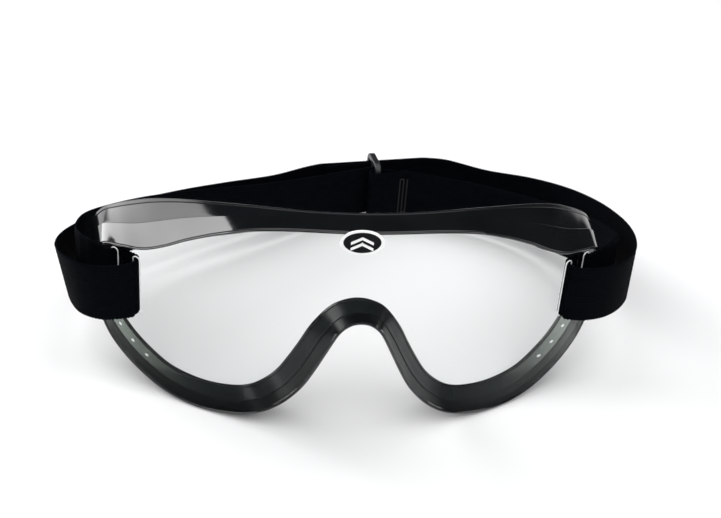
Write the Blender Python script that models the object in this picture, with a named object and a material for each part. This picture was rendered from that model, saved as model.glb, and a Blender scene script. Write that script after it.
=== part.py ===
"""Soft sport goggles, in metres.

A clear lens wraps the face. A black vinyl skirt runs round its edge and a lip
behind the skirt meets the face. A doubled elastic strap is woven through two
slots at each end of the lens and carries one slider at the back.

The lens looks along -Y, the wearer's up is +Z, and the goggles stand on the two
cheek lobes and the slider at Z = 0. Sizes below are in
millimetres from the front of the lens; the origin ends up in the middle of the base.
"""
import math

import bmesh
import bpy
import numpy as np
from mathutils import Vector

MM = 0.001

# Lens and film
WRAP = 0.0042  # the lens front lies at y = WRAP * x * x
LENS_T = 1.2
FILM_T = 0.8
GAP = 0.3
LENS_GAP = 0.6  # between the lens edge and the film, which leans in behind it
RING_STEPS = 3  # samples between two ring stations
LENS_COLUMNS = 58
FOLD = 0.5  # share of the skirt's depth at which it meets the lip
FILM_DEPTH = 18.0  # usual depth of the ring, lens to face

# Stations of the film ring on the right half, from the nose arch round the cheek
# and the temple to the brow: outer front edge (x, z), then the face-side edge
# (x, depth behind the lens front, z).
RING = (
    (0.0, 53.2, 0.0, 17.5, 52.8),
    (4.0, 52.2, 5.5, 17.5, 51.6),
    (8.0, 48.2, 10.8, 17.5, 48.2),
    (12.2, 39.5, 16.8, 18.0, 39.5),
    (16.3, 30.5, 21.2, 18.0, 30.5),
    (20.5, 22.3, 25.5, 18.0, 22.0),
    (25.5, 15.4, 29.8, 18.0, 14.6),
    (31.0, 9.8, 34.8, 18.0, 8.8),
    (38.0, 5.0, 41.0, 18.0, 4.0),
    (47.0, 1.9, 49.0, 18.0, 1.2),
    (61.0, 0.0, 61.0, 18.0, 0.0),
    (74.0, 1.6, 73.5, 18.0, 1.8),
    (84.0, 5.9, 82.5, 18.3, 6.4),
    (93.0, 12.3, 90.5, 18.8, 12.6),
    (99.5, 20.2, 98.0, 21.0, 20.5),
    (103.3, 31.0, 104.5, 24.5, 31.0),
    (104.5, 43.0, 107.3, 26.5, 43.0),
    (104.2, 55.0, 106.5, 26.5, 54.0),
    (100.2, 62.9, 102.5, 26.0, 61.8),
    (92.0, 65.9, 96.5, 24.8, 67.8),
    (84.5, 68.0, 89.0, 23.4, 73.8),
    (76.2, 72.8, 80.5, 22.0, 79.3),
    (66.2, 79.9, 69.0, 20.5, 84.4),
    (54.2, 86.6, 55.5, 19.0, 88.4),
    (41.0, 91.7, 41.5, 17.6, 91.4),
    (24.0, 94.6, 24.0, 16.5, 93.2),
    (0.0, 95.3, 0.0, 16.0, 94.0),
)
SEAM_STATION = 16  # upper and lower films meet here, behind the strap
SEAM_GAP = 0.004  # share of a station's length left open on each side of a seam

# Strap slots in the lens, by their distance from the middle
SLOT_IN = 86.5
SLOT_OUT = 95.2
SLOT_W = 2.6
SLOT_Z = (36.0, 62.9)

# Vent holes through each cheek's lip: station on the ring, share of the depth
VENT_R = 1.0
VENTS = ((12.1, 0.66), (12.8, 0.66), (13.5, 0.66))

# Strap
STRAP_W = 25.4
STRAP_T = 1.0
STRAP_STEPS = 3

# Straight stretch of the strap that the slider runs on
TRACK_START = np.array([-4.0, 168.2])
TRACK_END = np.array([48.0, 176.3])
TRACK_Z = 3.4  # the strap's lower edge there
SLIDER_AT = 26.5  # distance along the track

# Slider: a three-bar buckle that stands across the strap
BAR = 2.6
WINDOW_BACK = 5.4
WINDOW_FRONT = 4.4
SLIDER_T = 3.0
SLIDER_H = 32.2
WINDOW_H = 26.4
WRAP_CLEAR = 0.9  # from a bar's face to the middle of the strap wrapped round it
WRAP_OUT = 1.6  # how far the wrapped strap bulges past that, beside the bar
WRAP_FLAT = 1.0  # half the flat part of that bulge

# Bar tack on the sewn loop: upright threads, by distance from the slider
STITCH_LINES = (10.5, 11.2, 12.3, 13.0, 14.1, 14.8)
STITCH_MARGIN = 3.0
THREAD_W = 0.7
THREAD_T = 0.5

# Printed badge near the middle of the brow
BADGE_X = -2.3
BADGE_W = 16.5
BADGE_H = 9.5
BADGE_Z = 91.0
BADGE_T = 0.4

# Free runs of the strap: (x, y, height of the lower edge)
OUTER_LEFT = (
    (-87.6, 28.2, 36.6),
    (-94.0, 26.9, 36.2),
    (-102.0, 27.6, 35.4),
    (-111.0, 33.0, 34.2),
    (-117.8, 44.5, 31.6),
    (-120.4, 60.0, 26.6),
    (-117.4, 78.0, 21.2),
    (-107.5, 95.5, 17.2),
    (-92.0, 111.5, 14.6),
    (-72.5, 126.5, 11.6),
    (-51.0, 141.0, 7.8),
    (-28.0, 154.5, 4.3),
    (-12.0, 164.6, 3.4),
)
OUTER_RIGHT = (
    (60.0, 175.0, 3.0),
    (79.0, 168.5, 1.2),
    (99.0, 157.5, 3.6),
    (113.5, 141.5, 7.6),
    (122.5, 120.0, 13.2),
    (126.5, 96.0, 19.4),
    (126.0, 74.0, 25.0),
    (122.0, 56.0, 29.0),
    (115.0, 42.5, 32.2),
    (106.0, 33.0, 34.4),
    (96.0, 28.4, 35.8),
    (87.6, 28.2, 36.6),
)
INNER_LEFT = (
    (-109.6, 50.5, 36.0),
    (-112.4, 62.0, 33.0),
    (-109.6, 76.0, 30.0),
    (-100.0, 90.5, 25.6),
    (-85.0, 105.0, 21.2),
    (-66.0, 118.5, 16.4),
    (-45.0, 131.0, 11.6),
    (-22.0, 145.0, 6.8),
    (-4.0, 156.5, 3.6),
)
INNER_RIGHT = (
    (110.0, 50.5, 36.0),
    (114.8, 60.0, 31.0),
    (116.6, 76.0, 25.2),
    (114.5, 95.0, 18.4),
    (108.0, 115.0, 11.6),
    (97.0, 132.0, 6.4),
    (82.0, 145.0, 3.8),
    (64.0, 154.0, 3.2),
)


def remove_scene_objects():
    for old in list(bpy.data.objects):
        bpy.data.objects.remove(old, do_unlink=True)


def material(name, colour, roughness, metallic=0.0, transmission=0.0):
    made = bpy.data.materials.new(name)
    made.use_nodes = True
    shader = made.node_tree.nodes["Principled BSDF"]
    shader.inputs["Base Color"].default_value = (*colour, 1.0)
    shader.inputs["Roughness"].default_value = roughness
    shader.inputs["Metallic"].default_value = metallic
    shader.inputs["Transmission Weight"].default_value = transmission
    return made


def add_object(name, mesh, finish, parent=None, smooth=True):
    mesh.materials.append(finish)
    if smooth:
        mesh.shade_smooth()
        mesh.set_sharp_from_angle(angle=math.radians(40))
    made = bpy.data.objects.new(name, mesh)
    bpy.context.scene.collection.objects.link(made)
    made.parent = parent
    return made


def catmull_rom(points, steps):
    """Smooth curve through the points, sampled steps times between each two."""
    pts = np.asarray(points, float)
    ends = np.vstack([2 * pts[0] - pts[1], pts, 2 * pts[-1] - pts[-2]])
    out = []
    for i in range(1, len(ends) - 2):
        p0, p1, p2, p3 = ends[i - 1 : i + 3]
        for t in np.arange(steps) / steps:
            out.append(spline_point(p0, p1, p2, p3, t))
    out.append(pts[-1])
    return np.array(out)


def spline_point(p0, p1, p2, p3, t):
    bend = (2 * p0 - 5 * p1 + 4 * p2 - p3) * t * t
    turn = (3 * p1 - 3 * p2 + p3 - p0) * t * t * t
    return 0.5 * (2 * p1 + (p2 - p0) * t + bend + turn)


def full_ring():
    """The ring's stations all round: right half up to the brow, then the left half."""
    right = [np.array(row) for row in RING]
    flip = np.array([-1.0, 1.0, -1.0, 1.0, 1.0])
    left = [row * flip for row in right[-2:0:-1]]
    return np.array(right + left)


def ring_at(position):
    """The ring's five numbers at a station position, which may be a fraction."""
    rows = full_ring()
    count = len(rows)
    i = math.floor(position)
    picked = [rows[(i + k) % count] for k in (-1, 0, 1, 2)]
    return spline_point(*picked, position - i)


def film_point(position, share):
    """A point on the film's outer face, share of the way from lens to face."""
    fx, fz, rx, depth, rz = ring_at(position)
    front = np.array([fx, WRAP * fx * fx, fz])
    rear = np.array([rx, WRAP * rx * rx + depth, rz])
    return front + (rear - front) * share


def film_inward(position, share):
    """Unit normal of the film, towards the inside of the ring."""
    step = 0.05
    along = film_point(position + step, share) - film_point(position - step, share)
    back = film_point(position, 1.0) - film_point(position, 0.0)
    normal = np.cross(along, back)
    return normal / np.linalg.norm(normal)


def grid_solid(name, outer, inner, missing=()):
    """Closed solid between two grids of points; missing cells leave holes."""
    bm = bmesh.new()
    rows, cols = outer.shape[:2]
    faces = [[[bm.verts.new(p * MM) for p in row] for row in side] for side in (outer, inner)]
    cells = {(i, j) for i in range(rows - 1) for j in range(cols - 1)} - set(missing)
    for i, j in cells:
        corners = ((i, j), (i, j + 1), (i + 1, j + 1), (i + 1, j))
        bm.faces.new([faces[0][a][b] for a, b in corners])
        bm.faces.new([faces[1][a][b] for a, b in reversed(corners)])
        for k, neighbour in enumerate(((i - 1, j), (i, j + 1), (i + 1, j), (i, j - 1))):
            if neighbour in cells:
                continue
            (a, b), (c, d) = corners[k], corners[(k + 1) % 4]
            bm.faces.new([faces[0][c][d], faces[0][a][b], faces[1][a][b], faces[1][c][d]])
    loose = [v for v in bm.verts if not v.link_faces]
    bmesh.ops.delete(bm, geom=loose, context="VERTS")
    bmesh.ops.recalc_face_normals(bm, faces=bm.faces)
    mesh = bpy.data.meshes.new(name)
    bm.to_mesh(mesh)
    bm.free()
    return mesh


def film_strip(name, first, last, shares, finish):
    """One vinyl film between two stations and over a range of the depth."""
    count = round((last - first) * RING_STEPS) + 1
    stations = np.linspace(first, last, count)
    outer = np.array([[film_point(s, d) for d in shares] for s in stations])
    inward = np.array([[film_inward(s, d) for d in shares] for s in stations])
    return add_object(name, grid_solid(name, outer, outer + inward * FILM_T), finish)


def lens_outline():
    """Lower and upper branch of the lens edge, each as (x, z) with x rising."""
    stations = np.linspace(0, len(RING) - 1, (len(RING) - 1) * 8 + 1)
    inset = LENS_GAP + FILM_T
    edge = []
    for s in stations:
        p = film_point(s, 0.0) + film_inward(s, 0.0) * inset
        edge.append((max(p[0], 0.0), p[2]))
    edge = np.array(edge)
    tip = int(edge[:, 0].argmax())
    return edge[: tip + 1], edge[tip:][::-1]


def lens_front(x, z):
    return np.array([x, WRAP * x * x, z])


def lens_normal(x):
    """Unit vector out of the lens front."""
    out = np.array([2 * WRAP * x, -1.0, 0.0])
    return out / np.linalg.norm(out)


def make_lens(finish):
    lower, upper = lens_outline()
    tip = lower[-1, 0]
    half = list(tip * np.sin(np.linspace(0, math.pi / 2, LENS_COLUMNS)))
    edges = [c + s * SLOT_W / 2 for c in (SLOT_IN, SLOT_OUT) for s in (-1, 1)]
    half = sorted([x for x in half if min(abs(x - e) for e in edges) > 0.4] + edges)
    half[-1] = tip - 0.02
    columns = [-x for x in reversed(half[1:])] + half
    front = []
    for x in columns:
        low = np.interp(abs(x), lower[:, 0], lower[:, 1])
        high = np.interp(abs(x), upper[:, 0], upper[:, 1])
        at_slot = abs(x) > SLOT_IN - SLOT_W and abs(x) < SLOT_OUT + SLOT_W
        middle = SLOT_Z if at_slot else (low + (high - low) / 3, high - (high - low) / 3)
        front.append([lens_front(x, z) for z in (low, *middle, high)])
    front = np.array(front)
    back = front - np.array([[lens_normal(x)] * 4 for x in columns]) * LENS_T
    holes = []
    for centre in (SLOT_IN, SLOT_OUT, -SLOT_IN, -SLOT_OUT):
        for i in range(len(columns) - 1):
            middle = (columns[i] + columns[i + 1]) / 2
            if abs(middle - centre) < SLOT_W / 2:
                holes.append((i, 1))
    return add_object("lens", grid_solid("lens", front, back, holes), finish)


def cylinder_cutter(name, start, direction, radius, length):
    bm = bmesh.new()
    bmesh.ops.create_cone(
        bm, cap_ends=True, segments=12, radius1=radius, radius2=radius, depth=length
    )
    turn = bpy_vector(direction).to_track_quat("Z", "Y").to_matrix().to_4x4()
    bmesh.ops.transform(bm, matrix=turn, verts=bm.verts)
    bmesh.ops.translate(bm, vec=bpy_vector(start), verts=bm.verts)
    mesh = bpy.data.meshes.new(name)
    bm.to_mesh(mesh)
    bm.free()
    cutter = bpy.data.objects.new(name, mesh)
    bpy.context.scene.collection.objects.link(cutter)
    cutter.hide_render = True
    cutter.display_type = "WIRE"
    return cutter


def bpy_vector(values):
    return Vector([float(v) for v in values])


def cut_vents(lip):
    """Round vent holes through the lower lip, the same on both cheeks."""
    for side in (1, -1):
        for number, (station, share) in enumerate(VENTS):
            position = station * side
            at = film_point(position, share) * MM
            cutter = cylinder_cutter(
                f"vent_cutter_{number}_{side}", at, film_inward(position, share), VENT_R * MM, 6 * MM
            )
            cut = lip.modifiers.new(f"vent_{number}_{side}", "BOOLEAN")
            cut.operation = "DIFFERENCE"
            cut.object = cutter


def make_films(skirt_finish, lip_finish):
    top = len(RING) - 1
    seam_right = SEAM_STATION
    seam_left = 2 * top - SEAM_STATION
    rise = (seam_right + SEAM_GAP, seam_left - SEAM_GAP)
    fall = (seam_left + SEAM_GAP - 2 * top, seam_right - SEAM_GAP)
    skirt = (0.0, FOLD / 2, FOLD)
    lip = (FOLD + GAP / FILM_DEPTH, 0.75, 1.0)
    film_strip("brow_skirt", *rise, skirt, skirt_finish)
    film_strip("brow_lip", *rise, lip, lip_finish)
    film_strip("cheek_skirt", *fall, skirt, skirt_finish)
    cut_vents(film_strip("cheek_lip", *fall, lip, lip_finish))


def band(name, path, finish, parent=None):
    """Flat elastic band standing on edge along a path of (x, y, lower edge)."""
    path = np.asarray(path, float)
    flat = path[:, :2]
    steps = np.diff(flat, axis=0)
    steps /= np.linalg.norm(steps, axis=1)[:, None]
    before = np.vstack([steps[:1], steps])
    after = np.vstack([steps, steps[-1:]])
    tangent = before + after
    tangent /= np.linalg.norm(tangent, axis=1)[:, None]
    side = np.stack([-tangent[:, 1], tangent[:, 0]], -1)
    stretch = 1 / np.maximum((tangent * before).sum(1), 0.5)
    offset = side * (stretch * STRAP_T / 2)[:, None]
    walls = []
    for sign in (1, -1):
        edge = flat + offset * sign
        low = np.column_stack([edge, path[:, 2]])
        high = np.column_stack([edge, path[:, 2] + STRAP_W])
        walls.append(np.stack([low, high], 1))
    return add_object(name, grid_solid(name, *walls), finish, parent)


def weave(side):
    """The strap through both slots: in front of the tab, behind the bar, out again."""
    stops = (
        (104.6, 1.3),
        (SLOT_OUT + 0.7, 1.0),
        (SLOT_OUT - 0.7, -2.1),
        (SLOT_IN + 0.5, -2.1),
        (SLOT_IN - 0.3, 0.4),
    )
    out = []
    for x, off in stops:
        p = lens_front(side * x, SLOT_Z[0] + 0.7) + lens_normal(side * x) * off
        out.append(p)
    return out


def fold(side):
    """The short turn in front of the inner slot that starts the outer run."""
    stops = ((SLOT_IN - 0.4, 0.8), (SLOT_IN - 0.5, 2.0), (SLOT_IN + 0.2, 2.9))
    out = []
    for x, off in stops:
        p = lens_front(side * x, SLOT_Z[0] + 0.7) + lens_normal(side * x) * off
        out.append(p)
    return out


def track_frame():
    along = TRACK_END - TRACK_START
    along = along / np.linalg.norm(along)
    return along, np.array([-along[1], along[0]])


def on_track(distance, across):
    """A strap point near the slider, by distance along and across the track."""
    along, over = track_frame()
    flat = TRACK_START + along * distance + over * across
    return np.array([*flat, TRACK_Z])


def make_outer_strap(finish):
    left = catmull_rom([fold(-1)[-1], *OUTER_LEFT, (*TRACK_START, TRACK_Z)], STRAP_STEPS)
    right = catmull_rom([(*TRACK_END, TRACK_Z), *OUTER_RIGHT, fold(1)[-1]], STRAP_STEPS)
    path = [*fold(-1)[:-1], *left, *right, *fold(1)[-2::-1]]
    return band("strap_outer", path, finish)


def slider_lines():
    """Across-track places of the slider's faces, from back to front."""
    back_bar = WINDOW_BACK / 2
    centre_bar = -WINDOW_BACK / 2
    front_window = centre_bar - BAR
    front_bar = front_window - WINDOW_FRONT
    return back_bar, centre_bar, front_window, front_bar


def make_left_inner(finish):
    """Inner run from the left slots, round the slider's centre bar, with a free tail."""
    _, centre_bar, front_window, _ = slider_lines()
    free = catmull_rom([*INNER_LEFT, on_track(14.0, -8.0)], STRAP_STEPS)
    near = front_window - WRAP_CLEAR
    far = centre_bar + WRAP_CLEAR
    middle = (near + far) / 2
    right = SLIDER_AT + SLIDER_T / 2 + WRAP_CLEAR
    loop = [
        on_track(SLIDER_AT - 4.0, near),
        on_track(right, near),
        on_track(right + WRAP_OUT, middle - WRAP_FLAT),
        on_track(right + WRAP_OUT, middle + WRAP_FLAT),
        on_track(right, far),
        on_track(SLIDER_AT - 5.0, far),
        on_track(SLIDER_AT - 24.0, far - 0.6),
    ]
    path = [*reversed(weave(-1)), *free, *loop]
    return band("strap_inner_left", path, finish)


def make_right_inner(finish):
    """Inner run from the right slots, with its end sewn round the slider's front bar."""
    _, _, _, front_bar = slider_lines()
    near = front_bar - BAR - WRAP_CLEAR
    far = front_bar + WRAP_CLEAR
    middle = (near + far) / 2
    left = SLIDER_AT - SLIDER_T / 2 - WRAP_CLEAR
    free = catmull_rom([*INNER_RIGHT, on_track(SLIDER_AT + 16.0, near)], STRAP_STEPS)
    loop = [
        on_track(left, near),
        on_track(left - WRAP_OUT, middle - WRAP_FLAT),
        on_track(left - WRAP_OUT, middle + WRAP_FLAT),
        on_track(left, far),
        on_track(SLIDER_AT + 4.0, far),
        on_track(SLIDER_AT + 9.0, near + WRAP_OUT),
        on_track(SLIDER_AT + 15.0, near + WRAP_OUT),
    ]
    path = [*reversed(weave(1)), *free, *loop]
    return band("strap_inner_right", path, finish)


def make_slider(finish, parent):
    back_bar, centre_bar, front_window, front_bar = slider_lines()
    left = SLIDER_AT - SLIDER_T / 2
    right = SLIDER_AT + SLIDER_T / 2
    sill = (SLIDER_H - WINDOW_H) / 2
    lines_across = [front_bar - BAR, front_bar, front_window, centre_bar, back_bar, back_bar + BAR]
    lines_up = [0.0, sill, SLIDER_H - sill, SLIDER_H]
    sides = []
    for distance in (left, right):
        rows = []
        for across in lines_across:
            flat = on_track(distance, across)
            rows.append([[flat[0], flat[1], height] for height in lines_up])
        sides.append(rows)
    mesh = grid_solid("slider", *np.array(sides), missing=[(1, 1), (3, 1)])
    mesh.transform(parent.matrix_world.inverted())
    made = add_object("slider", mesh, finish, parent, smooth=False)
    round_off = made.modifiers.new("round_off", "BEVEL")
    round_off.width = 0.8 * MM
    round_off.segments = 2
    round_off.limit_method = "ANGLE"
    round_off.angle_limit = math.radians(50)
    return made


def make_stitches(finish, parent):
    """Bar tack on the sewn loop of the right inner run: three rows joined at the ends."""
    _, _, _, front_bar = slider_lines()
    face = front_bar - BAR - WRAP_CLEAR - STRAP_T / 2 - GAP
    lines_along = [SLIDER_AT + line for line in STITCH_LINES]
    bottom = TRACK_Z + STITCH_MARGIN
    top = TRACK_Z + STRAP_W - STITCH_MARGIN
    lines_up = [bottom, bottom + THREAD_W, top - THREAD_W, top]
    sides = []
    for across in (face, face - THREAD_T):
        rows = []
        for distance in lines_along:
            flat = on_track(distance, across)
            rows.append([[flat[0], flat[1], height] for height in lines_up])
        sides.append(rows)
    gaps = [(1, 0), (1, 1), (3, 1), (3, 2)]
    mesh = grid_solid("loop_stitches", *np.array(sides), missing=gaps)
    mesh.transform(parent.matrix_world.inverted())
    return add_object("loop_stitches", mesh, finish, parent, smooth=False)


def slider_pivot():
    """Empty on the slider's own line of travel; the slider's pieces hang from it."""
    along, _ = track_frame()
    empty = bpy.data.objects.new("slider_axis", None)
    empty.location = bpy_vector(on_track(SLIDER_AT, 0.0) * MM)
    empty.rotation_euler = (0.0, 0.0, math.atan2(along[1], along[0]))
    bpy.context.scene.collection.objects.link(empty)
    bpy.context.view_layer.update()
    return empty


def make_badge(finish):
    """Thin oval print pad in front of the lens, near the middle of the brow."""
    turns = np.linspace(0, 2 * math.pi, 33)[:-1]
    radii = (0.0, 0.5, 1.0)
    sides = []
    for off in (GAP + BADGE_T, GAP):
        rows = []
        for turn in (*turns, turns[0] + 2 * math.pi):
            row = []
            for r in radii:
                x = BADGE_X + math.cos(turn) * r * BADGE_W / 2
                z = BADGE_Z + math.sin(turn) * r * BADGE_H / 2
                row.append(lens_front(x, z) + lens_normal(x) * off)
            rows.append(row)
        sides.append(np.array(rows))
    return add_object("badge", disc_solid("badge", sides), finish)


def disc_solid(name, sides):
    """Closed disc from two polar grids whose first and last rows meet."""
    bm = bmesh.new()
    rings = []
    for side in sides:
        points = side[:-1]
        hub = bm.verts.new(points[:, 0].mean(0) * MM)
        inner = [bm.verts.new(p * MM) for p in points[:, 1]]
        outer = [bm.verts.new(p * MM) for p in points[:, 2]]
        rings.append((hub, inner, outer))
    count = len(rings[0][1])
    for i in range(count):
        k = (i + 1) % count
        for hub, inner, outer in rings:
            bm.faces.new([hub, inner[i], inner[k]])
            bm.faces.new([inner[i], outer[i], outer[k], inner[k]])
        bm.faces.new([rings[0][2][i], rings[1][2][i], rings[1][2][k], rings[0][2][k]])
    bmesh.ops.recalc_face_normals(bm, faces=bm.faces)
    mesh = bpy.data.meshes.new(name)
    bm.to_mesh(mesh)
    bm.free()
    return mesh


def centre_on_base():
    """Moves the origin to the middle of the overall box, on the surface below."""
    bpy.context.view_layer.update()
    depsgraph = bpy.context.evaluated_depsgraph_get()
    corners = []
    for each in bpy.data.objects:
        if each.type == "MESH" and not each.hide_render:
            shape = each.evaluated_get(depsgraph)
            corners += [shape.matrix_world @ v.co for v in shape.data.vertices]
    corners = np.array(corners)
    low = corners.min(0)
    high = corners.max(0)
    shift = bpy_vector([-(low[0] + high[0]) / 2, -(low[1] + high[1]) / 2, -low[2]])
    for each in bpy.data.objects:
        if each.parent is None:
            each.location += shift


def main():
    remove_scene_objects()
    clear = material("clear_lens", (0.93, 0.95, 0.95), 0.05, transmission=1.0)
    smoke = material("smoke_vinyl", (0.012, 0.014, 0.015), 0.18)
    lip_film = material("lip_vinyl", (0.02, 0.022, 0.023), 0.22)
    elastic = material("black_elastic", (0.008, 0.009, 0.011), 0.85)
    plastic = material("slider_plastic", (0.01, 0.01, 0.012), 0.35)
    thread = material("black_thread", (0.02, 0.02, 0.022), 0.7)
    print_white = material("badge_print", (0.85, 0.86, 0.86), 0.4)

    make_lens(clear)
    make_films(smoke, lip_film)
    make_badge(print_white)
    make_outer_strap(elastic)
    make_left_inner(elastic)
    make_right_inner(elastic)
    axis = slider_pivot()
    make_slider(plastic, axis)
    make_stitches(thread, axis)
    centre_on_base()


main()
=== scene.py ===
"""Looks of the soft sport goggles: clear lens, black vinyl film ring and elastic strap.

Lengths in the tables are millimetres from the front of the lens at the middle of the
face and from the surface below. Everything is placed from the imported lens's box.
"""
import math

import bmesh
import bpy
import numpy as np
from mathutils import Matrix, Vector


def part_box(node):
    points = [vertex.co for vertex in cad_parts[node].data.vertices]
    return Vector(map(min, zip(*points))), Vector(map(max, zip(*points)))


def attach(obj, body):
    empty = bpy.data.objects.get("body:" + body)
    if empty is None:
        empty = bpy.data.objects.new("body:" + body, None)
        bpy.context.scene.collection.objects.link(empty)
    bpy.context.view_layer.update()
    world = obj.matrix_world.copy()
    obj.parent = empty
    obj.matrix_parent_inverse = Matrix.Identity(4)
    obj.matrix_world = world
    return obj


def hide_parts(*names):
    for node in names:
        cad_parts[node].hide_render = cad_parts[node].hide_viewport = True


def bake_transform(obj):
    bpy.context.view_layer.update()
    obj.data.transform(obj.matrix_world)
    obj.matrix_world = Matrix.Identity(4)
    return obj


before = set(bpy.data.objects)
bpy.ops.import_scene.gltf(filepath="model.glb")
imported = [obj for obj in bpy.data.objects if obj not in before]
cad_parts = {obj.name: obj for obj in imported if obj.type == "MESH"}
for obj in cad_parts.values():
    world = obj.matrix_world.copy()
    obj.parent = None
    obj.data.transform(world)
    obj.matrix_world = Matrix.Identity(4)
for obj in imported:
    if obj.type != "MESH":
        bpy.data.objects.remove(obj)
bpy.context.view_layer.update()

MM = 0.001
lens_low, lens_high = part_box("lens")
ORIGIN = Vector(((lens_low[0] + lens_high[0]) / 2, lens_low[1], 0.0))

WRAP = 0.0042  # the lens front lies at y = WRAP * x * x
LENS_T = 1.2
FILM_T = 0.8
LENS_GAP = 0.6
LENS_REACH = 0.2  # how far the sheet reaches into the weld
LENS_COLUMNS = 130

# Film ring stations on the right half: outer front edge (x, z), then the face-side
# edge (x, depth behind the lens front, z).
RING = (
    (0.0, 53.2, 0.0, 17.5, 52.8),
    (4.0, 52.2, 5.5, 17.5, 51.6),
    (8.0, 48.2, 10.8, 17.5, 48.2),
    (12.2, 39.5, 16.8, 18.0, 39.5),
    (16.3, 30.5, 21.2, 18.0, 30.5),
    (20.5, 22.3, 25.5, 18.0, 22.0),
    (25.5, 15.4, 29.8, 18.0, 14.6),
    (31.0, 9.8, 34.8, 18.0, 8.8),
    (38.0, 5.0, 41.0, 18.0, 4.0),
    (47.0, 1.9, 49.0, 18.0, 1.2),
    (61.0, 0.0, 61.0, 18.0, 0.0),
    (74.0, 1.6, 73.5, 18.0, 1.8),
    (84.0, 5.9, 82.5, 18.3, 6.4),
    (93.0, 12.3, 90.5, 18.8, 12.6),
    (99.5, 20.2, 98.0, 21.0, 20.5),
    (103.3, 31.0, 104.5, 24.5, 31.0),
    (104.5, 43.0, 107.3, 26.5, 43.0),
    (104.2, 55.0, 106.5, 26.5, 54.0),
    (100.2, 62.9, 102.5, 26.0, 61.8),
    (92.0, 65.9, 96.5, 24.8, 67.8),
    (84.5, 68.0, 89.0, 23.4, 73.8),
    (76.2, 72.8, 80.5, 22.0, 79.3),
    (66.2, 79.9, 69.0, 20.5, 84.4),
    (54.2, 86.6, 55.5, 19.0, 88.4),
    (41.0, 91.7, 41.5, 17.6, 91.4),
    (24.0, 94.6, 24.0, 16.5, 93.2),
    (0.0, 95.3, 0.0, 16.0, 94.0),
)
BROW = len(RING) - 1
SEAM_STATION = 16
STATION_STEPS = 10
FOLD = 0.5
CREASE = 0.35  # how far the fold line stands out
SEAM_GAP = 0.004  # share of a station's length left open on each side of a seam
FILM_ROUNDING = 0.3  # share of a film's thickness taken off its edges
LIP_T = 0.6
LIP_RAISE = -0.45  # the lip tucks under the skirt
LIP_OVERLAP = 0.06
HEM_T = 1.1
HEM_RAISE = -0.2
HEM_FROM = 0.9
WELD_R = 0.42
WELD_INSET = 0.75
WELD_FORWARD = 0.1
VENTS = ((12.1, 0.66), (12.8, 0.66), (13.5, 0.66))
VENT_R = 1.0
VENT_CUT = 8.0  # cutter length, through the film with room on both sides
THIN_FROM = 42.0  # distance from the middle where the cheek films start to thin
THIN_TO = 96.0

MIRROR_FACING = 0.0015  # share of light the lens mirrors seen straight on
MIRROR_GRAZING = 0.9  # and how much more it mirrors edge-on

SLOT_IN = 86.5
SLOT_OUT = 95.2
SLOT_W = 2.6
SLOT_Z = (36.0, 62.9)
RIM_R = 0.26
RIM_SINK = 0.05
RIM_STEP = 0.8

STRAP_W = 25.4
STRAP_T = 1.0
STRAP_STEP = 0.5
STRAP_SOFTENING = 3  # rounds of smoothing on a strap's corners
STRAP_LIFT = 0.05  # the least height of a strap off the surface below
SELVEDGE = 0.35
RIB_LINES = 19
RIB_DEPTH = 0.09
EDGE_T = 0.44
PICK_PITCH = 0.9
RIB_PITCH = 1.4
PICOT = 0.4  # how far the edge loops stand out, one every three steps
LEAN = 4.5  # how far the strap's lower edge draws in at the left temple
LEAN_AT = (-118.0, 52.0)
LEAN_REACH = (16.0, 26.0)
TRACK_START = np.array([-4.0, 168.2])
TRACK_END = np.array([48.0, 176.3])
TRACK_Z = 3.4
SLIDER_AT = 26.5
BAR = 2.6
WINDOW_BACK = 5.4
WINDOW_FRONT = 4.4
SLIDER_T = 3.0
SLIDER_H = 32.2
WINDOW_H = 26.4
SLIDER_CORNER = 4.6
WINDOW_CORNER = 0.6
SLIDER_ROUNDING = 0.8
WRAP_CLEAR = 0.9  # from a bar's face to the middle of the strap wrapped round it
WRAP_OUT = 1.6  # how far the wrapped strap bulges past that, beside the bar
WRAP_FLAT = 1.0  # half the flat part of that bulge

FLOOR_DROP = 0.4  # the cheek hem reaches a little below the standing surface

# Bar tack on the sewn loop
TACK_AT = 10.6  # first row, by distance from the slider
TACK_ROWS = 3
TACK_ROW_GAP = 1.8
TACK_MARGIN = 3.2
TACK_PITCH = 0.75
TACK_ZIGZAG = 0.55
THREAD_R = 0.2
THREAD_SINK = 0.12

OUTER_LEFT = (
    (-87.6, 28.2, 36.6),
    (-94.0, 26.9, 36.2),
    (-102.0, 27.6, 35.4),
    (-111.0, 33.0, 34.2),
    (-117.8, 44.5, 31.6),
    (-120.4, 60.0, 26.6),
    (-117.4, 78.0, 21.2),
    (-107.5, 95.5, 17.2),
    (-92.0, 111.5, 14.6),
    (-72.5, 126.5, 11.6),
    (-51.0, 141.0, 7.8),
    (-28.0, 154.5, 4.3),
    (-12.0, 164.6, 3.4),
)
OUTER_RIGHT = (
    (60.0, 175.0, 3.0),
    (79.0, 168.5, 1.2),
    (99.0, 157.5, 3.6),
    (113.5, 141.5, 7.6),
    (122.5, 120.0, 13.2),
    (126.5, 96.0, 19.4),
    (126.0, 74.0, 25.0),
    (122.0, 56.0, 29.0),
    (115.0, 42.5, 32.2),
    (106.0, 33.0, 34.4),
    (96.0, 28.4, 35.8),
    (87.6, 28.2, 36.6),
)
INNER_LEFT = (
    (-109.6, 50.5, 36.0),
    (-112.4, 62.0, 33.0),
    (-109.6, 76.0, 30.0),
    (-100.0, 90.5, 25.6),
    (-85.0, 105.0, 21.2),
    (-66.0, 118.5, 16.4),
    (-45.0, 131.0, 11.6),
    (-22.0, 145.0, 6.8),
    (-4.0, 156.5, 3.6),
)
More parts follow.
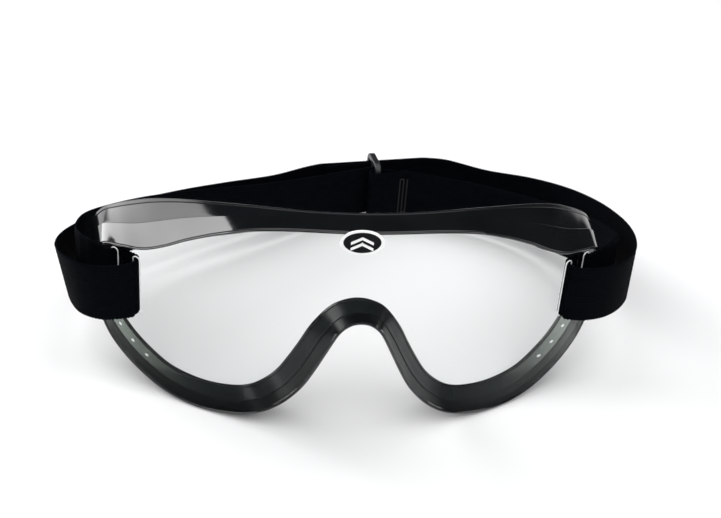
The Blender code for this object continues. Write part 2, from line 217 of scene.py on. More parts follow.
INNER_RIGHT = (
    (110.0, 50.5, 36.0),
    (114.8, 60.0, 31.0),
    (116.6, 76.0, 25.2),
    (114.5, 95.0, 18.4),
    (108.0, 115.0, 11.6),
    (97.0, 132.0, 6.4),
    (82.0, 145.0, 3.8),
    (64.0, 154.0, 3.2),
)

BADGE_X = -2.3
BADGE_Z = 90.9
BADGE_W = 16.4
BADGE_H = 10.4
RIM_MARGIN = 0.3  # how much larger the white oval is than the black one
RIM_INNER = 0.84
PINHOLE = 0.04  # share of its radius that a full plate leaves open at its centre
CHEVRON_HALF_W = 4.2
CHEVRON_RISE = 2.3
CHEVRON_BAR = 1.15
CHEVRON_OFF = (0.6, 0.86)  # back and front face, off the lens


# ---------------------------------------------------------------- geometry helpers
def placed(points):
    """Table points in millimetres to scene points in metres."""
    return [Vector([float(c) * MM for c in p]) + ORIGIN for p in points]


def closed_mesh(name, bm):
    """Turns the faces outwards and gives the finished mesh."""
    bmesh.ops.recalc_face_normals(bm, faces=bm.faces)
    mesh = bpy.data.meshes.new(name)
    bm.to_mesh(mesh)
    bm.free()
    return mesh


def link(name, mesh, material, body="goggles", stands_for=(), angle=35):
    """Adds a piece to the scene; a piece with no body is left without a parent."""
    mesh.materials.append(material)
    mesh.shade_smooth()
    mesh.set_sharp_from_angle(angle=math.radians(angle))
    made = bpy.data.objects.new(name, mesh)
    bpy.context.scene.collection.objects.link(made)
    if body:
        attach(made, body)
    if stands_for:
        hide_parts(*stands_for)
    return made


def apply_modifiers(piece):
    """Replaces the piece's mesh by what its modifiers make of it."""
    bpy.context.view_layer.update()
    depsgraph = bpy.context.evaluated_depsgraph_get()
    made = bpy.data.meshes.new_from_object(piece.evaluated_get(depsgraph))
    piece.modifiers.clear()
    piece.data = made


def add_bevel(piece, width, segments, angle):
    """Rounds edges sharper than the angle, in degrees."""
    soft = piece.modifiers.new("soft_edges", "BEVEL")
    soft.width = width * MM
    soft.segments = segments
    soft.limit_method = "ANGLE"
    soft.angle_limit = math.radians(angle)


def add_cutter(piece, name, mesh):
    """Cuts the mesh out of the piece; the cutter goes once the cut is applied."""
    cutter = bpy.data.objects.new(name, mesh)
    bpy.context.scene.collection.objects.link(cutter)
    cut = piece.modifiers.new(name, "BOOLEAN")
    cut.operation = "DIFFERENCE"
    cut.object = cutter
    return cutter


def remove_all(objects):
    """Takes the used cutters out of the scene."""
    for each in objects:
        bpy.data.objects.remove(each, do_unlink=True)


def spline_point(p0, p1, p2, p3, t):
    bend = (2 * p0 - 5 * p1 + 4 * p2 - p3) * t * t
    turn = (3 * p1 - 3 * p2 + p3 - p0) * t * t * t
    return 0.5 * (2 * p1 + (p2 - p0) * t + bend + turn)


def catmull_rom(points, steps=10):
    pts = np.asarray(points, float)
    ends = np.vstack([2 * pts[0] - pts[1], pts, 2 * pts[-1] - pts[-2]])
    out = []
    for i in range(1, len(ends) - 2):
        for t in np.arange(steps) / steps:
            out.append(spline_point(*ends[i - 1 : i + 3], t))
    out.append(pts[-1])
    return np.array(out)


def resample(path, step):
    """Even steps along a path of points."""
    path = np.asarray(path, float)
    run = np.concatenate([[0], np.cumsum(np.linalg.norm(np.diff(path, axis=0), axis=1))])
    count = max(int(round(run[-1] / step)), 2)
    at = np.linspace(0, run[-1], count + 1)
    return np.column_stack([np.interp(at, run, path[:, k]) for k in range(path.shape[1])])


def soften(path, rounds):
    """Rounds a path's corners and keeps its ends."""
    path = path.copy()
    for _ in range(rounds):
        path[1:-1] = (path[:-2] + 2 * path[1:-1] + path[2:]) / 4
    return path


def grid_mesh(name, outer, inner, missing=()):
    """Closed solid between two grids of points; missing cells leave holes."""
    bm = bmesh.new()
    rows, cols = outer.shape[:2]
    sides = [[[bm.verts.new(v) for v in placed(row)] for row in side] for side in (outer, inner)]
    cells = {(i, j) for i in range(rows - 1) for j in range(cols - 1)} - set(missing)
    for i, j in sorted(cells):
        corners = ((i, j), (i, j + 1), (i + 1, j + 1), (i + 1, j))
        bm.faces.new([sides[0][a][b] for a, b in corners])
        bm.faces.new([sides[1][a][b] for a, b in reversed(corners)])
        for k, neighbour in enumerate(((i - 1, j), (i, j + 1), (i + 1, j), (i, j - 1))):
            if neighbour in cells:
                continue
            (a, b), (c, d) = corners[k], corners[(k + 1) % 4]
            bm.faces.new([sides[0][c][d], sides[0][a][b], sides[1][a][b], sides[1][c][d]])
    bmesh.ops.delete(bm, geom=[v for v in bm.verts if not v.link_faces], context="VERTS")
    return closed_mesh(name, bm)


def tube_mesh(name, path, radius, closed=False, sides=8):
    """Round tube along a path in millimetres, with flat caps unless it closes."""
    pts = np.asarray(path, float)
    count = len(pts)
    bm = bmesh.new()
    rings = []
    for i in range(count):
        before = pts[i - 1] if (closed or i > 0) else pts[i]
        after = pts[(i + 1) % count] if (closed or i < count - 1) else pts[i]
        along = (after - before) / np.linalg.norm(after - before)
        helper = np.array([0.0, 1.0, 0.0]) if abs(along[1]) < 0.9 else np.array([0.0, 0.0, 1.0])
        u = np.cross(along, helper)
        u /= np.linalg.norm(u)
        v = np.cross(along, u)
        turns = np.arange(sides) * 2 * math.pi / sides
        ring = [pts[i] + radius * (math.cos(a) * u + math.sin(a) * v) for a in turns]
        rings.append([bm.verts.new(p) for p in placed(ring)])
    for i in range(count if closed else count - 1):
        near, far = rings[i], rings[(i + 1) % count]
        for k in range(sides):
            m = (k + 1) % sides
            bm.faces.new([near[k], near[m], far[m], far[k]])
    if not closed:
        bm.faces.new(rings[0])
        bm.faces.new(rings[-1][::-1])
    return closed_mesh(name, bm)


# ---------------------------------------------------------------- material helpers
def new_material(name):
    made = bpy.data.materials.new(name)
    made.use_nodes = True
    return made, made.node_tree.nodes, made.node_tree.links


def noise(nodes, links, coords, scale, detail=4.0, roughness=0.5):
    made = nodes.new("ShaderNodeTexNoise")
    made.inputs["Scale"].default_value = scale
    made.inputs["Detail"].default_value = detail
    made.inputs["Roughness"].default_value = roughness
    links.new(coords, made.inputs["Vector"])
    return made.outputs["Fac"]


def ramp(nodes, links, value, low, high, dark, light):
    made = nodes.new("ShaderNodeValToRGB")
    made.color_ramp.elements[0].position = low
    made.color_ramp.elements[0].color = (*dark, 1)
    made.color_ramp.elements[1].position = high
    made.color_ramp.elements[1].color = (*light, 1)
    links.new(value, made.inputs["Fac"])
    return made.outputs["Color"]


def remap(nodes, links, value, low, high):
    made = nodes.new("ShaderNodeMapRange")
    made.inputs["To Min"].default_value = low
    made.inputs["To Max"].default_value = high
    links.new(value, made.inputs["Value"])
    return made.outputs["Result"]


def bump(nodes, links, height, strength, distance):
    made = nodes.new("ShaderNodeBump")
    made.inputs["Strength"].default_value = strength
    made.inputs["Distance"].default_value = distance
    links.new(height, made.inputs["Height"])
    return made.outputs["Normal"]


def maths(nodes, links, operation, first, second):
    made = nodes.new("ShaderNodeMath")
    made.operation = operation
    for socket, value in zip(made.inputs, (first, second)):
        if isinstance(value, (int, float)):
            socket.default_value = value
        else:
            links.new(value, socket)
    return made.outputs["Value"]


# Darkest and lightest colour of each film
SKIRT_TONES = ((0.0018, 0.0026, 0.003), (0.005, 0.006, 0.007))
CHEEK_TONES = ((0.001, 0.0018, 0.002), (0.004, 0.005, 0.0055))
LIP_TONES = ((0.002, 0.003, 0.0035), (0.006, 0.007, 0.008))
THIN_TONES = ((0.006, 0.008, 0.009), (0.014, 0.017, 0.018))
HEM_TONES = ((0.004, 0.005, 0.006), (0.010, 0.011, 0.012))


def vinyl_material(name, tones, gloss, specular=0.5, coat=0.25):
    """Black smoke vinyl with faint haze, uneven gloss and a rippled surface."""
    made, nodes, links = new_material(name)
    shader = nodes["Principled BSDF"]
    coords = nodes.new("ShaderNodeTexCoord").outputs["Object"]
    haze = noise(nodes, links, coords, 38.0, 5.0)
    fine = noise(nodes, links, coords, 900.0, 3.0)
    links.new(ramp(nodes, links, haze, 0.3, 0.75, *tones), shader.inputs["Base Color"])
    rough = maths(nodes, links, "MULTIPLY", haze, fine)
    links.new(remap(nodes, links, rough, gloss, gloss + 0.16), shader.inputs["Roughness"])
    ripple = noise(nodes, links, coords, 60.0, 2.0)
    links.new(bump(nodes, links, ripple, 0.12, 0.0006), shader.inputs["Normal"])
    shader.inputs["IOR"].default_value = 1.5
    shader.inputs["Specular IOR Level"].default_value = specular
    shader.inputs["Coat Weight"].default_value = coat
    shader.inputs["Coat Roughness"].default_value = 0.06
    return made


def thin_vinyl_material(name, tones, share_at_temple):
    """Cheek film: smoky near the nose, thinner and letting light through at the temples."""
    made = vinyl_material(name, tones, 0.2, 0.1, 0.0)
    nodes, links = made.node_tree.nodes, made.node_tree.links
    coords = nodes.new("ShaderNodeTexCoord").outputs["Object"]
    split = nodes.new("ShaderNodeSeparateXYZ")
    links.new(coords, split.inputs["Vector"])
    sideways = maths(nodes, links, "SUBTRACT", split.outputs["X"], ORIGIN.x)
    share = remap(nodes, links, maths(nodes, links, "ABSOLUTE", sideways, 0), 0.0, share_at_temple)
    share.node.inputs["From Min"].default_value = THIN_FROM * MM
    share.node.inputs["From Max"].default_value = THIN_TO * MM
    clear = nodes.new("ShaderNodeBsdfTransparent")
    clear.inputs["Color"].default_value = (0.9, 0.95, 0.9, 1)
    mix = nodes.new("ShaderNodeMixShader")
    links.new(share, mix.inputs["Fac"])
    links.new(nodes["Principled BSDF"].outputs["BSDF"], mix.inputs[1])
    links.new(clear.outputs["BSDF"], mix.inputs[2])
    links.new(mix.outputs["Shader"], nodes["Material Output"].inputs["Surface"])
    return made


def lens_material():
    """Clear sheet: passes light straight through and mirrors by its angle."""
    made, nodes, links = new_material("clear_lens_sheet")
    nodes.remove(nodes["Principled BSDF"])
    out = nodes["Material Output"]
    coords = nodes.new("ShaderNodeTexCoord").outputs["Object"]
    clear = nodes.new("ShaderNodeBsdfTransparent")
    clear.inputs["Color"].default_value = (0.965, 0.972, 0.970, 1)
    gloss = nodes.new("ShaderNodeBsdfGlossy")
    gloss.inputs["Color"].default_value = (1, 1, 1, 1)
    smear = noise(nodes, links, coords, 24.0, 5.0)
    links.new(remap(nodes, links, smear, 0.02, 0.09), gloss.inputs["Roughness"])
    wave = noise(nodes, links, coords, 9.0, 1.0)
    links.new(bump(nodes, links, wave, 0.1, 0.001), gloss.inputs["Normal"])
    facing = nodes.new("ShaderNodeLayerWeight")
    facing.inputs["Blend"].default_value = 0.5
    grazing = maths(nodes, links, "POWER", facing.outputs["Facing"], 5.0)
    mirror = maths(nodes, links, "MULTIPLY", grazing, MIRROR_GRAZING)
    share = maths(nodes, links, "ADD", mirror, MIRROR_FACING)
    mix = nodes.new("ShaderNodeMixShader")
    links.new(share, mix.inputs["Fac"])
    links.new(clear.outputs["BSDF"], mix.inputs[1])
    links.new(gloss.outputs["BSDF"], mix.inputs[2])
    links.new(mix.outputs["Shader"], out.inputs["Surface"])
    return made


def cut_edge_highlight_material():
    """The lens's cut edges, faintly milky, with a near-white colour that is a painted highlight of
    the light they gather.
    """
    made, nodes, links = new_material("lens_cut_edge_painted_highlight")
    shader = nodes["Principled BSDF"]
    coords = nodes.new("ShaderNodeTexCoord").outputs["Object"]
    grain = noise(nodes, links, coords, 700.0, 3.0)
    # painted highlight: the near-white colour stands in for the light the clear cut edge catches
    colour = ramp(nodes, links, grain, 0.3, 0.7, (0.85, 0.87, 0.87), (0.95, 0.96, 0.96))
    links.new(colour, shader.inputs["Base Color"])
    links.new(remap(nodes, links, grain, 0.18, 0.4), shader.inputs["Roughness"])
    return made


def elastic_material():
    """Black woven elastic: lengthwise ribs crossed by fine picks, with uneven lint."""
    made, nodes, links = new_material("black_elastic_weave")
    shader = nodes["Principled BSDF"]
    uv = nodes.new("ShaderNodeUVMap")
    uv.uv_map = "strap"
    split = nodes.new("ShaderNodeSeparateXYZ")
    links.new(uv.outputs["UV"], split.inputs["Vector"])
    along = maths(nodes, links, "MULTIPLY", split.outputs["X"], 2 * math.pi / PICK_PITCH)
    across = maths(nodes, links, "MULTIPLY", split.outputs["Y"], 2 * math.pi / RIB_PITCH)
    stagger = maths(nodes, links, "MULTIPLY", maths(nodes, links, "SINE", across, 0), 1.5)
    picks = maths(nodes, links, "SINE", maths(nodes, links, "ADD", along, stagger), 0)
    ribs = maths(nodes, links, "SINE", across, 0)
    weave = maths(nodes, links, "ADD", picks, maths(nodes, links, "MULTIPLY", ribs, 0.8))
    level = remap(nodes, links, weave, 0.0, 1.0)
    level.node.inputs["From Min"].default_value = -1.8
    level.node.inputs["From Max"].default_value = 1.8
    coords = nodes.new("ShaderNodeTexCoord").outputs["Object"]
    lint = noise(nodes, links, coords, 260.0, 4.0)
    shade = maths(nodes, links, "MULTIPLY", level, lint)
    colour = ramp(nodes, links, shade, 0.1, 0.6, (0.0006, 0.0011, 0.0018), (0.0032, 0.0042, 0.0060))
    links.new(colour, shader.inputs["Base Color"])
    links.new(remap(nodes, links, lint, 0.7, 0.95), shader.inputs["Roughness"])
    links.new(bump(nodes, links, level, 0.6, 0.00025), shader.inputs["Normal"])
    shader.inputs["Specular IOR Level"].default_value = 0.02
    return made


def plastic_material():
    """Moulded black buckle plastic with a fine grain and duller, paler patches of wear."""
    made, nodes, links = new_material("slider_moulded_plastic")
    shader = nodes["Principled BSDF"]
    coords = nodes.new("ShaderNodeTexCoord").outputs["Object"]
    grain = noise(nodes, links, coords, 1400.0, 2.0)
    patches = noise(nodes, links, coords, 90.0, 4.0)
    colour = ramp(nodes, links, patches, 0.3, 0.8, (0.004, 0.005, 0.006), (0.014, 0.015, 0.017))
    links.new(colour, shader.inputs["Base Color"])
    links.new(remap(nodes, links, patches, 0.28, 0.45), shader.inputs["Roughness"])
    links.new(bump(nodes, links, grain, 0.25, 0.0001), shader.inputs["Normal"])
    return made


def thread_material():
    """Twisted bonded thread."""
    made, nodes, links = new_material("bonded_thread")
    shader = nodes["Principled BSDF"]
    coords = nodes.new("ShaderNodeTexCoord").outputs["Object"]
    twist = nodes.new("ShaderNodeTexWave")
    twist.bands_direction = "DIAGONAL"
    twist.inputs["Scale"].default_value = 900.0
    links.new(coords, twist.inputs["Vector"])
    fac = twist.outputs["Fac"]
    colour = ramp(nodes, links, fac, 0.1, 0.9, (0.004, 0.004, 0.005), (0.016, 0.016, 0.018))
    links.new(colour, shader.inputs["Base Color"])
    links.new(remap(nodes, links, fac, 0.45, 0.65), shader.inputs["Roughness"])
    links.new(bump(nodes, links, fac, 0.4, 0.0001), shader.inputs["Normal"])
    return made


def print_material(name, dark, light, specular=0.5):
    """Screen-printed ink with a faint orange peel."""
    made, nodes, links = new_material(name)
    shader = nodes["Principled BSDF"]
    coords = nodes.new("ShaderNodeTexCoord").outputs["Object"]
    peel = noise(nodes, links, coords, 600.0, 3.0)
    links.new(ramp(nodes, links, peel, 0.3, 0.7, dark, light), shader.inputs["Base Color"])
    links.new(remap(nodes, links, peel, 0.32, 0.45), shader.inputs["Roughness"])
    links.new(bump(nodes, links, peel, 0.15, 0.0001), shader.inputs["Normal"])
    shader.inputs["Specular IOR Level"].default_value = specular
    return made


def floor_material():
    made, nodes, links = new_material("pale_floor")
    shader = nodes["Principled BSDF"]
    coords = nodes.new("ShaderNodeTexCoord").outputs["Object"]
    tone = noise(nodes, links, coords, 3.0, 3.0)
    colour = ramp(nodes, links, tone, 0.2, 0.8, (0.86, 0.865, 0.87), (0.88, 0.885, 0.885))
    links.new(colour, shader.inputs["Base Color"])
    shader.inputs["Roughness"].default_value = 0.8
    return made


# ---------------------------------------------------------------- film ring
def full_ring():
    """The ring's stations all round: right half up to the brow, then the left half."""
    right = [np.array(row) for row in RING]
    flip = np.array([-1.0, 1.0, -1.0, 1.0, 1.0])
    left = [row * flip for row in right[-2:0:-1]]
    return np.array(right + left)


RING_ALL = full_ring()


def film_point(position, share):
    """A point on the film's outer face, share of the way from lens to face."""
    i = math.floor(position)
    picked = [RING_ALL[(i + k) % len(RING_ALL)] for k in (-1, 0, 1, 2)]
    fx, fz, rx, depth, rz = spline_point(*picked, position - i)
    front = np.array([fx, WRAP * fx * fx, fz])
    rear = np.array([rx, WRAP * rx * rx + depth, rz])
    return front + (rear - front) * share


def film_inward(position, share):
    """Unit normal of the film, towards the inside of the ring."""
    step = 0.05
    along = film_point(position + step, share) - film_point(position - step, share)
    back = film_point(position, 1.0) - film_point(position, 0.0)
    normal = np.cross(along, back)
    return normal / np.linalg.norm(normal)


def crease_at(share):
    """How far the film stands out at a share of its depth: a ridge along the fold."""
    return CREASE * (1 - abs(share - FOLD) / FOLD)


def film_grids(first, last, shares, raise_out, thickness):
    """Outer and inner grid of a film, raised raise_out from the plain surface."""
    count = round((last - first) * STATION_STEPS) + 1
    outer, inner = [], []
    for s in np.linspace(first, last, count):
        out_row, in_row = [], []
        for d in shares:
            inward = film_inward(s, d)
            top = film_point(s, d) - inward * (crease_at(d) + raise_out)
            out_row.append(top)
            in_row.append(top + inward * thickness)
        outer.append(out_row)
        inner.append(in_row)
    return np.array(outer), np.array(inner)


def film_piece(name, span, form, material, node=()):
    """One vinyl film with softly rounded edges; form is (shares, raise, thickness)."""
    thickness = form[2]
    mesh = grid_mesh(name, *film_grids(*span, *form))
    made = link(name, mesh, material, stands_for=node)
    add_bevel(made, thickness * FILM_ROUNDING, 2, 60)
    apply_modifiers(made)
    return made


def cut_vents(lip):
    """Round vent holes through the lower lip on both cheeks."""
    cutters = []
    for side in (1, -1):
        for station, share in VENTS:
            s = station * side
            bm = bmesh.new()
            bmesh.ops.create_cone(
                bm, cap_ends=True, segments=20, radius1=VENT_R * MM,
                radius2=VENT_R * MM, depth=VENT_CUT * MM,
            )
            axis = Vector([float(c) for c in film_inward(s, share)])
            turn = axis.to_track_quat("Z", "Y").to_matrix().to_4x4()
            centre = placed([film_point(s, share)])[0]
            bmesh.ops.transform(bm, matrix=Matrix.Translation(centre) @ turn, verts=bm.verts)
            cutters.append(add_cutter(lip, "vent_cutter", closed_mesh("vent_cutter", bm)))
    apply_modifiers(lip)
    remove_all(cutters)


def make_ring():
    """Skirts, lips with their hems, and the weld bead round the lens."""
    upper = (SEAM_STATION + SEAM_GAP, 2 * BROW - SEAM_STATION - SEAM_GAP)
    lower = (-SEAM_STATION + SEAM_GAP, SEAM_STATION - SEAM_GAP)
    skirt_shares = np.linspace(0.0, FOLD, 7)
    lip_shares = np.linspace(FOLD - LIP_OVERLAP, 0.99, 8)
    hem_shares = np.linspace(HEM_FROM, 1.0, 4)
    skirt = vinyl_material("smoke_vinyl_skirt", SKIRT_TONES, 0.05)
    cheek = thin_vinyl_material("smoke_vinyl_cheek", CHEEK_TONES, 0.22)
    lip = vinyl_material("smoke_vinyl_lip", LIP_TONES, 0.10, 0.3, 0.0)
    thin = thin_vinyl_material("smoke_vinyl_thin", THIN_TONES, 0.62)
    hem = vinyl_material("smoke_vinyl_hem", HEM_TONES, 0.20, 0.25, 0.0)
    skirt_form = (skirt_shares, 0.0, FILM_T)
    lip_form = (lip_shares, LIP_RAISE, LIP_T)
    hem_form = (hem_shares, HEM_RAISE, HEM_T)
    film_piece("brow_skirt_film", upper, skirt_form, skirt, ["brow_skirt"])
    film_piece("cheek_skirt_film", lower, skirt_form, cheek, ["cheek_skirt"])
    film_piece("brow_lip_film", upper, lip_form, lip, ["brow_lip"])
    cheek_lip = film_piece("cheek_lip_film", lower, lip_form, thin, ["cheek_lip"])
    cut_vents(cheek_lip)
    film_piece("brow_hem", upper, hem_form, hem)
    film_piece("cheek_hem", lower, hem_form, hem)
    make_weld("brow_weld", upper, skirt)
    make_weld("cheek_weld", lower, skirt)


def make_weld(name, span, material):
    """Bead along the weld between the lens and the skirt."""
    count = round((span[1] - span[0]) * STATION_STEPS) + 1
    stations = np.linspace(*span, count)
    path = [film_point(s, 0.0) + film_inward(s, 0.0) * WELD_INSET for s in stations]
    path = np.array(path) - np.array([0.0, WELD_FORWARD, 0.0])
    link(name, tube_mesh(name, path, WELD_R), material)


# ---------------------------------------------------------------- lens
def lens_front(x, z):
    """A point on the lens front."""
    return np.array([x, WRAP * x * x, z])


def lens_normal(x):
    """Unit vector out of the lens front."""
    out = np.array([2 * WRAP * x, -1.0, 0.0])
    return out / np.linalg.norm(out)


def lens_outline():
    """Lower and upper branch of the lens edge, each as (x, z) with x rising."""
    edge = []
    for s in np.linspace(0, BROW, BROW * 12 + 1):
        p = film_point(s, 0.0) + film_inward(s, 0.0) * (LENS_GAP + FILM_T - LENS_REACH)
        edge.append((max(p[0], 0.0), p[2]))
    edge = np.array(edge)
    tip = int(edge[:, 0].argmax())
    return edge[: tip + 1], edge[tip:][::-1]


def make_lens():
    """Lens sheet in columns, with a slot between the two middle lines of some."""
    lower, upper = lens_outline()
    tip = lower[-1, 0]
    edges = [c + s * SLOT_W / 2 for c in (SLOT_IN, SLOT_OUT) for s in (-1, 1)]
    half = list(tip * np.sin(np.linspace(0, math.pi / 2, LENS_COLUMNS)))
    half = sorted([x for x in half if min(abs(x - e) for e in edges) > 0.2] + edges)
    half[-1] = tip - 0.02
    columns = [-x for x in reversed(half[1:])] + half
    front = []
    for x in columns:
        low = np.interp(abs(x), lower[:, 0], lower[:, 1])
        high = np.interp(abs(x), upper[:, 0], upper[:, 1])
        at_slot = SLOT_IN - SLOT_W < abs(x) < SLOT_OUT + SLOT_W
        middle = SLOT_Z if at_slot else (low + (high - low) / 3, high - (high - low) / 3)
        front.append([lens_front(x, z) for z in (low, *middle, high)])
    front = np.array(front)
    back = front - np.array([[lens_normal(x)] * 4 for x in columns]) * LENS_T
    holes = []
    for centre in (SLOT_IN, SLOT_OUT, -SLOT_IN, -SLOT_OUT):
        for i in range(len(columns) - 1):
            if abs((columns[i] + columns[i + 1]) / 2 - centre) < SLOT_W / 2:
                holes.append((i, 1))
    mesh = grid_mesh("lens_sheet", front, back, holes)
    link("lens_sheet", mesh, lens_material(), stands_for=["lens"])


def make_slot_rims():
    """Cut edge round each slot, a stadium that follows the lens, coloured near-white as a painted
    highlight.
    """
    # the rims' white is a painted highlight, not the colour of the clear sheet
    edge = cut_edge_highlight_material()
    r = SLOT_W / 2
    ends = ((SLOT_Z[1] - r, 0.0), (SLOT_Z[0] + r, math.pi))
    for side, label in ((-1, "left"), (1, "right")):
        for centre, place in ((SLOT_IN, "inner"), (SLOT_OUT, "outer")):
            path = []
            for end, start in ends:
                for turn in np.linspace(start, start + math.pi, 9):
                    x = side * centre + math.cos(turn) * r
                    z = end + math.sin(turn) * r
                    path.append(lens_front(x, z) - lens_normal(x) * RIM_SINK)
            name = f"{label}_{place}_slot_rim"
            loop = resample([*path, path[0]], RIM_STEP)[:-1]
            mesh = tube_mesh(name, loop, RIM_R, closed=True)
            link(name, mesh, edge)


# ---------------------------------------------------------------- strap
def track_frame():
    along = TRACK_END - TRACK_START
    along = along / np.linalg.norm(along)
    return along, np.array([-along[1], along[0]])


def on_track(distance, across):
    """A strap point near the slider, by distance along and across the track."""
    along, over = track_frame()
    flat = TRACK_START + along * distance + over * across
    return np.array([*flat, TRACK_Z])


def near_slot(side, stops):
    """Strap points by distance from the middle and height off the lens front."""
    out = []
    for x, off in stops:
        out.append(lens_front(side * x, SLOT_Z[0] + 0.7) + lens_normal(side * x) * off)
    return out


def weave(side):
    """The strap through both slots: in front of the tab, behind the bar, out again."""
    return near_slot(side, (
        (104.6, 1.3),
        (SLOT_OUT + 0.7, 1.0),
        (SLOT_OUT - 0.7, -2.1),
        (SLOT_IN + 0.5, -2.1),
        (SLOT_IN - 0.3, 0.4),
    ))


def fold(side):
    """The short turn in front of the inner slot that starts the outer run."""
    stops = ((SLOT_IN - 0.4, 0.8), (SLOT_IN - 0.5, 2.0), (SLOT_IN + 0.2, 2.9))
    return near_slot(side, stops)


def slider_lines():
    """Across-track places of the slider's faces, from back to front."""
    back_bar = WINDOW_BACK / 2
    centre_bar = -WINDOW_BACK / 2
    front_window = centre_bar - BAR
    front_bar = front_window - WINDOW_FRONT
    return back_bar, centre_bar, front_window, front_bar


def outer_path():
    left = catmull_rom([fold(-1)[-1], *OUTER_LEFT, (*TRACK_START, TRACK_Z)])
    right = catmull_rom([(*TRACK_END, TRACK_Z), *OUTER_RIGHT, fold(1)[-1]])
    return [*fold(-1)[:-1], *left, *right, *fold(1)[-2::-1]]


def left_inner_path():
    _, centre_bar, front_window, _ = slider_lines()
    near = front_window - WRAP_CLEAR
    far = centre_bar + WRAP_CLEAR
    middle = (near + far) / 2
    right = SLIDER_AT + SLIDER_T / 2 + WRAP_CLEAR
    free = catmull_rom([*INNER_LEFT, on_track(14.0, -8.0)])
    loop = [
        on_track(SLIDER_AT - 4.0, near),
        on_track(right, near),
        on_track(right + WRAP_OUT, middle - WRAP_FLAT),
        on_track(right + WRAP_OUT, middle + WRAP_FLAT),
        on_track(right, far),
        on_track(SLIDER_AT - 5.0, far),
        on_track(SLIDER_AT - 24.0, far - 0.6),
    ]
    return [*reversed(weave(-1)), *free, *loop]


def right_inner_path():
    _, _, _, front_bar = slider_lines()
    near = front_bar - BAR - WRAP_CLEAR
    far = front_bar + WRAP_CLEAR
    middle = (near + far) / 2
    left = SLIDER_AT - SLIDER_T / 2 - WRAP_CLEAR
    free = catmull_rom([*INNER_RIGHT, on_track(SLIDER_AT + 16.0, near)])
    loop = [
        on_track(left, near),
        on_track(left - WRAP_OUT, middle - WRAP_FLAT),
        on_track(left - WRAP_OUT, middle + WRAP_FLAT),
        on_track(left, far),
        on_track(SLIDER_AT + 4.0, far),
        on_track(SLIDER_AT + 9.0, near + WRAP_OUT),
        on_track(SLIDER_AT + 15.0, near + WRAP_OUT),
    ]
    return [*reversed(weave(1)), *free, *loop]


def strap_section():
    """Half-thickness and height round the band's section, ribbed on both faces."""
    heights = np.linspace(SELVEDGE, STRAP_W - SELVEDGE, RIB_LINES)
    ribs = STRAP_T / 2 - RIB_DEPTH * (np.arange(RIB_LINES) % 2)
    face = list(zip(ribs, heights))
    back = [(-t, h) for t, h in reversed(face)]
    top = [(EDGE_T / 2, STRAP_W), (-EDGE_T / 2, STRAP_W)]
    return [(EDGE_T / 2, 0.0), *face, *top, *back, (-EDGE_T / 2, 0.0)]


def lean_at(x, y):
    """Inward shift of the strap's lower edge, which hangs slack at the left temple."""
    across = (x - LEAN_AT[0]) / LEAN_REACH[0]
    along = (y - LEAN_AT[1]) / LEAN_REACH[1]
    return LEAN * math.exp(-across * across - along * along)


def strap_mesh(name, path, leans=False):
    """Woven band along a path of (x, y, lower edge), with picot loops on both edges."""
    path = soften(resample(path, STRAP_STEP), STRAP_SOFTENING)
    tangent = np.gradient(path[:, :2], axis=0)
    tangent /= np.linalg.norm(tangent, axis=1)[:, None]
    side = np.stack([-tangent[:, 1], tangent[:, 0]], -1)
    section = strap_section()
    last = len(section)
    bm = bmesh.new()
    uv = bm.loops.layers.uv.new("strap")
    rings = []
    for i, (x, y, z) in enumerate(path):
        picot = PICOT * (i % 3 == 1)
        ring = []
        lean = lean_at(x, y) if leans else 0.0
        for t, h in section:
            grow = picot if h == STRAP_W else (-picot if h == 0.0 else 0.0)
            lift = max(z + h + grow, STRAP_LIFT)
            off = t - lean * (1 - h / STRAP_W)
            ring.append([x + side[i, 0] * off, y + side[i, 1] * off, lift])
        rings.append([bm.verts.new(p) for p in placed(ring)])
    for i in range(len(rings) - 1):
        for k in range(last):
            m = (k + 1) % last
            corners = ((i, k), (i, m), (i + 1, m), (i + 1, k))
            face = bm.faces.new([rings[at][spot] for at, spot in corners])
            for loop, (at, spot) in zip(face.loops, corners):
                loop[uv].uv = (at * STRAP_STEP, section[spot][1])
    bm.faces.new(rings[0][::-1])
    bm.faces.new(rings[-1])
    return closed_mesh(name, bm)


def make_strap():
    elastic = elastic_material()
    outer = strap_mesh("outer_band", outer_path(), leans=True)
    link("outer_band", outer, elastic, "goggles", ["strap_outer"], 60)
    left = strap_mesh("left_inner_band", left_inner_path())
    left = link("left_inner_band", left, elastic, None, ["strap_inner_left"], 60)
    right = strap_mesh("right_inner_band", right_inner_path())
    right = link("right_inner_band", right, elastic, None, ["strap_inner_right"], 60)
    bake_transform(left)
    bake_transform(right)


def make_stitches():
    """Zigzag bar tack: slanted thread stitches in three rows on the sewn loop."""
    _, _, _, front_bar = slider_lines()
    face = front_bar - BAR - WRAP_CLEAR - STRAP_T / 2 - THREAD_SINK
    bottom = TRACK_Z + TACK_MARGIN
    top = TRACK_Z + STRAP_W - TACK_MARGIN
    path = []
    for row in range(TACK_ROWS):
        start = SLIDER_AT + TACK_AT + TACK_ROW_GAP * row
        heights = np.arange(bottom, top, TACK_PITCH)
        if row % 2:
            heights = heights[::-1]
        for k, height in enumerate(heights):
            odd = k % 2
            spot = on_track(start + TACK_ZIGZAG * odd, face - THREAD_SINK * odd)
            path.append([spot[0], spot[1], height])
    mesh = tube_mesh("bar_tack", path, THREAD_R, sides=6)
    link("bar_tack", mesh, thread_material(), "slider", ["loop_stitches"])


